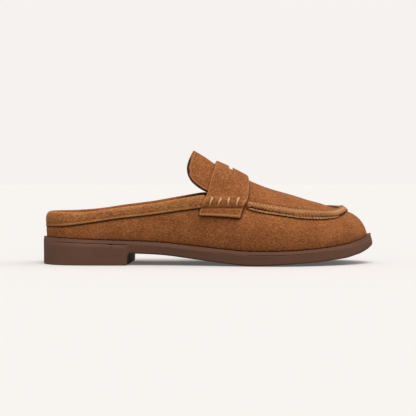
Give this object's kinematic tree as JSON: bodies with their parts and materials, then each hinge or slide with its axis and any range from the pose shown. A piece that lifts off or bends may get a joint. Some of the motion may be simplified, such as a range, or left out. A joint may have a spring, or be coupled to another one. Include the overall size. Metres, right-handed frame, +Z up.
{
  "type": "loafer mule",
  "caption": "Slip-on penny loafer mule with a low collar, saddle strap, apron seam, loose tongue and a low-heeled unit sole.",
  "frame": {"origin": "on the floor under the middle of the sole's length and width", "axes": "+X from heel to toe, +Y to the wearer's left, which is the inner side, +Z up"},
  "size_m": [0.27, 0.0941, 0.0924],
  "materials": {
    "sole": "matte moulded brown",
    "welt": "matte moulded brown, notched edge",
    "footbed": "soft tan suede",
    "upper": "felted fine knit, caramel",
    "binding": "felted fine knit, caramel",
    "roll": "ribbed knit, caramel",
    "tongue": "felted fine knit, caramel",
    "strap": "felted fine knit, caramel"
  },
  "bodies": {
    "root": {"outsole": "sole", "welt": "welt", "insole": "footbed", "upper": "upper", "collar_band": "binding", "apron_roll": "roll", "tongue": "tongue", "strap": "strap"}
  },
  "joints": []
}
